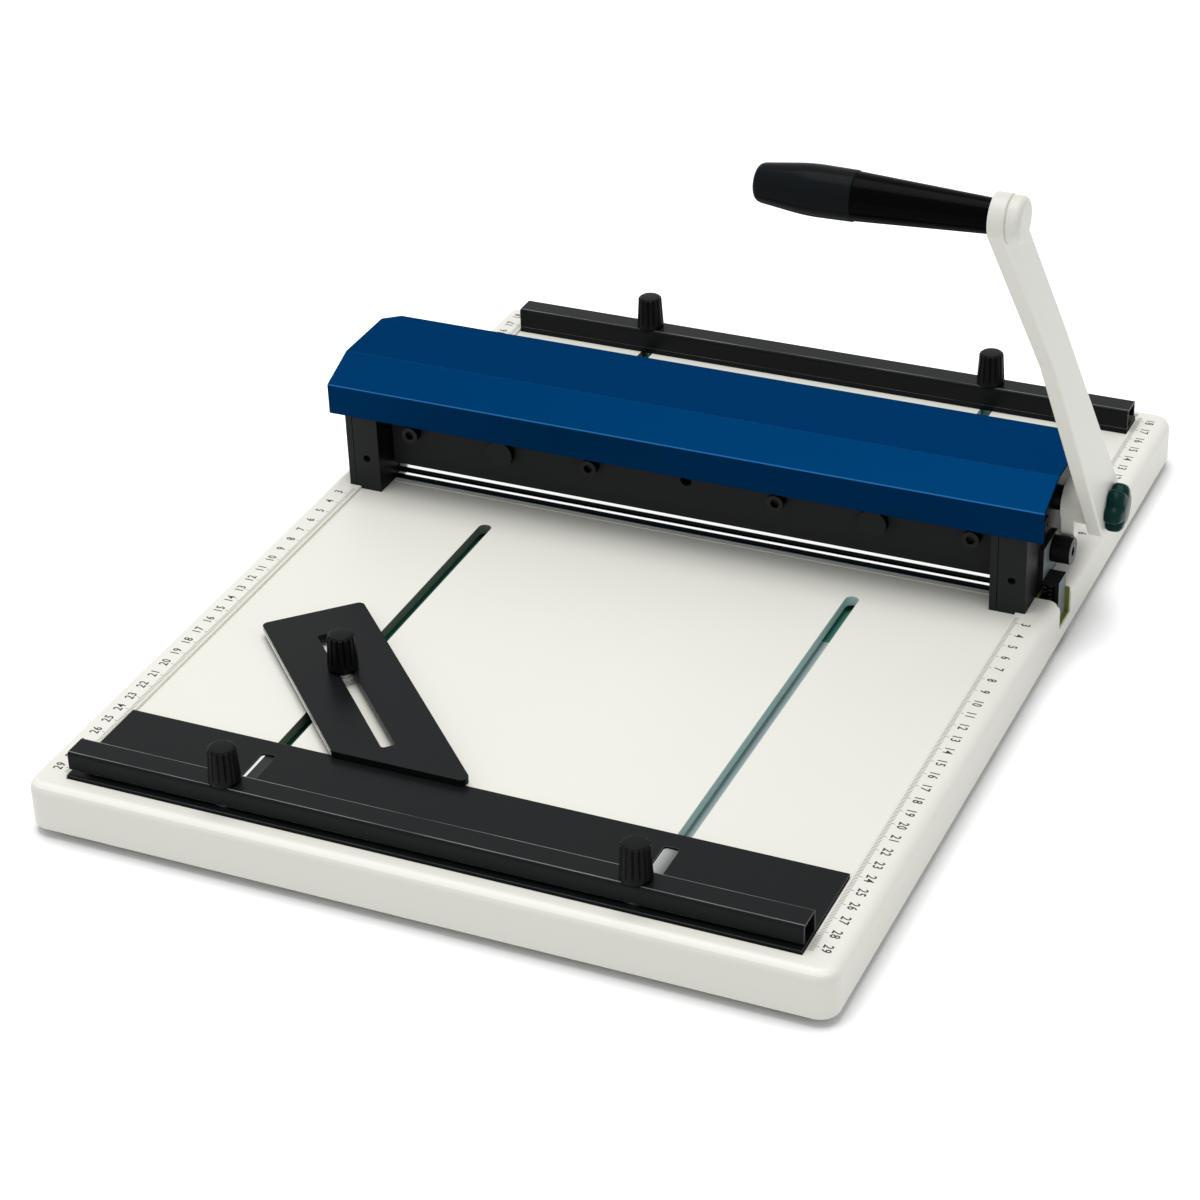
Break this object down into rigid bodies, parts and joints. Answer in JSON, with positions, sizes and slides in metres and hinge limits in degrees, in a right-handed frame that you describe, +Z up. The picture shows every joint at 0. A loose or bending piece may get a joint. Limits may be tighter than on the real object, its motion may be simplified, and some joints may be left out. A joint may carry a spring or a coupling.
{
  "type": "paper creasing machine",
  "caption": "Desktop paper creasing machine: flat ruled table, hooded head with a creasing beam pressed down by a side lever, sliding front and rear gauges and a swivelling side guide.",
  "frame": {"origin": "on the desk under the middle of the whole machine's outline, with the lever's star knob counted in", "axes": "+X along the crease line towards the lever, +Y from the user's side to the back, +Z up from the desk"},
  "size_m": [0.3962, 0.5006, 0.2956],
  "materials": {
    "painted_casting": "satin off-white powder coat",
    "dark_paint": "satin dark grey paint",
    "blue_paint": "satin blue powder coat",
    "black_paint": "satin black powder coat",
    "steel": "ground steel",
    "polished_steel": "polished steel",
    "zinc": "bright zinc plate",
    "black_oxide": "black oxide steel",
    "bronze": "plain bronze",
    "black_plastic": "glossy black plastic",
    "rubber": "matt black rubber"
  },
  "bodies": {
    "machine_base": {"base_table": "painted_casting", "base_bottom_plate": "zinc", "rubber_feet": "rubber", "foot_screws": "zinc", "left_cheek_block": "dark_paint", "right_cheek_block": "dark_paint", "cheek_plates": "dark_paint", "cheek_grub_screws": "black_oxide", "cheek_mount_screws": "black_oxide", "shaft_bushes": "bronze", "cheek_side_screw": "zinc", "rear_tie_bar": "dark_paint", "tie_bar_screws": "black_oxide", "die_holder": "dark_paint", "crease_matrix": "polished_steel", "die_screws": "black_oxide", "stop_bracket": "zinc", "stop_screw": "black_oxide", "stop_spring": "black_oxide", "hinge_fixed_leaves": "zinc", "hinge_pins": "steel"},
    "press_beam_body": {"press_beam": "dark_paint", "clamp_plate": "dark_paint", "crease_blade": "steel", "beam_cap_screws": "black_oxide", "yoke_pins": "dark_paint", "yoke_blocks": "steel"},
    "lever": {"main_shaft": "steel", "shaft_collar": "black_oxide", "lever_hub": "painted_casting", "lever_hub_pin": "steel", "lever_arm": "painted_casting", "lever_clamp_stud": "zinc", "handle_spindle": "steel", "handle_cap": "painted_casting"},
    "star_knob_body": {"star_knob": "black_plastic"},
    "grip_body": {"handle_grip": "black_plastic"},
    "hood_body": {"hood": "blue_paint", "hood_hinge_leaves": "zinc", "hood_rivets": "blue_paint"},
    "front_gauge": {"front_gauge_plate": "black_paint", "front_gauge_bar": "black_paint", "front_gauge_runners": "zinc", "front_gauge_bolts": "zinc", "front_gauge_spacers": "zinc"},
    "front_left_knob_body": {"front_left_knob": "black_plastic"},
    "front_right_knob_body": {"front_right_knob": "black_plastic"},
    "rear_gauge": {"rear_gauge_plate": "black_paint", "rear_gauge_bar": "black_paint", "rear_gauge_runners": "zinc", "rear_gauge_bolts": "zinc", "rear_gauge_spacers": "zinc"},
    "rear_left_knob_body": {"rear_left_knob": "black_plastic"},
    "rear_right_knob_body": {"rear_right_knob": "black_plastic"},
    "guide_carriage": {"guide_slide_block": "zinc", "guide_bolt": "zinc", "guide_top_washer": "black_plastic"},
    "guide_swivel": {"guide_washer": "zinc"},
    "side_guide": {"side_guide_plate": "black_paint"},
    "side_guide_knob_body": {"side_guide_knob": "black_plastic"}
  },
  "joints": [
    {"name": "lever_pull", "type": "hinge", "parent": "machine_base", "child": "lever", "pos_m": [-0.0109, 0.08175, 0.065], "axis": [1, 0, 0], "range_deg": [0, 50], "stiffness_Nm_per_rad": 0.8, "springref_deg": -91.67},
    {"name": "beam_press", "type": "slide", "parent": "machine_base", "child": "press_beam_body", "axis": [0, 0, 1], "range_m": [-0.0036, 0]},
    {"name": "star_knob_spin", "type": "hinge", "parent": "lever", "child": "star_knob_body", "pos_m": [0.1941, 0.08175, 0.065], "axis": [1, 0, 0], "continuous": true},
    {"name": "handle_grip_spin", "type": "hinge", "parent": "lever", "child": "grip_body", "pos_m": [0.1391, -0.09225, 0.285], "axis": [1, 0, 0], "continuous": true},
    {"name": "hood_hinge", "type": "hinge", "parent": "machine_base", "child": "hood_body", "pos_m": [-0.0109, 0.11435, 0.064], "axis": [-1, 0, 0], "range_deg": [0, 90]},
    {"name": "front_gauge_slide", "type": "slide", "parent": "machine_base", "child": "front_gauge", "axis": [0, 1, 0], "range_m": [0, 0.036]},
    {"name": "rear_gauge_slide", "type": "slide", "parent": "machine_base", "child": "rear_gauge", "axis": [0, 1, 0], "range_m": [-0.104, 0.004]},
    {"name": "front_left_knob_spin", "type": "hinge", "parent": "front_gauge", "child": "front_left_knob_body", "pos_m": [-0.1062, -0.23125, 0.047], "axis": [0, 0, 1], "continuous": true},
    {"name": "front_right_knob_spin", "type": "hinge", "parent": "front_gauge", "child": "front_right_knob_body", "pos_m": [0.0844, -0.23125, 0.047], "axis": [0, 0, 1], "continuous": true},
    {"name": "rear_left_knob_spin", "type": "hinge", "parent": "rear_gauge", "child": "rear_left_knob_body", "pos_m": [-0.1062, 0.22975, 0.047], "axis": [0, 0, 1], "continuous": true},
    {"name": "rear_right_knob_spin", "type": "hinge", "parent": "rear_gauge", "child": "rear_right_knob_body", "pos_m": [0.0844, 0.22975, 0.047], "axis": [0, 0, 1], "continuous": true},
    {"name": "guide_carriage_slide", "type": "slide", "parent": "machine_base", "child": "guide_carriage", "axis": [0, 1, 0], "range_m": [0, 0.1]},
    {"name": "side_guide_turn", "type": "hinge", "parent": "guide_carriage", "child": "guide_swivel", "pos_m": [-0.1062, -0.12475, 0.027], "axis": [0, 0, 1], "range_deg": [-30, 60]},
    {"name": "side_guide_slide", "type": "slide", "parent": "guide_swivel", "child": "side_guide", "axis": [0.6997, -0.7145, 0], "range_m": [-0.062, 0.026]},
    {"name": "side_guide_knob_spin", "type": "hinge", "parent": "guide_carriage", "child": "side_guide_knob_body", "pos_m": [-0.1062, -0.12475, 0.042], "axis": [0, 0, 1], "continuous": true}
  ],
  "couplings": [
    {"joint": "beam_press", "follows": "lever_pull", "m_per_rad": -0.004125}
  ]
}
